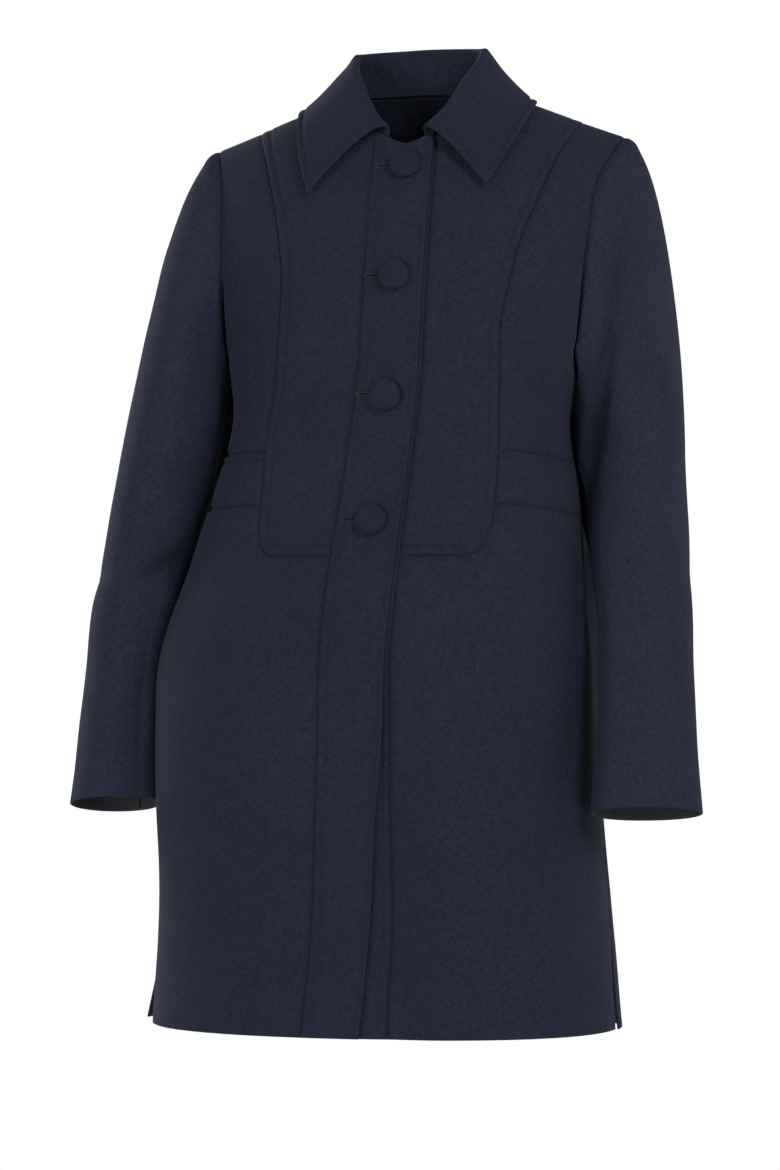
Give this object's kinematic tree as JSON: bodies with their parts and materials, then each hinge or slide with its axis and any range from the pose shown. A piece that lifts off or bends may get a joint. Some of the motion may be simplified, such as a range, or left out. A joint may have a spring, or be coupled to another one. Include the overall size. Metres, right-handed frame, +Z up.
{
  "type": "wool coat",
  "caption": "Mid-thigh wool coat held as worn: buttoned front band, shaped bib panels, waist insets, set-in sleeves and a turn-down collar, open at neck, cuffs and hem.",
  "frame": {"origin": "middle of the neck opening, level with the shoulders, where the coat is held", "axes": "+Z up, -Y the coat's front, +X towards the wearer's left"},
  "size_m": [0.6115, 0.3327, 0.948],
  "materials": {
    "coat_cloth": "felted navy wool",
    "button_cloth": "felted navy wool"
  },
  "bodies": {
    "root": {"back": "coat_cloth", "button_1": "button_cloth", "button_2": "button_cloth", "button_3": "button_cloth", "button_4": "button_cloth", "collar": "coat_cloth", "left_bib": "coat_cloth", "left_front_skirt": "coat_cloth", "left_side_front": "coat_cloth", "left_under_sleeve": "coat_cloth", "left_upper_sleeve": "coat_cloth", "left_waist_inset": "coat_cloth", "over_band": "coat_cloth", "right_bib": "coat_cloth", "right_front_skirt": "coat_cloth", "right_side_front": "coat_cloth", "right_under_sleeve": "coat_cloth", "right_upper_sleeve": "coat_cloth", "right_waist_inset": "coat_cloth", "under_band": "coat_cloth"}
  },
  "joints": []
}
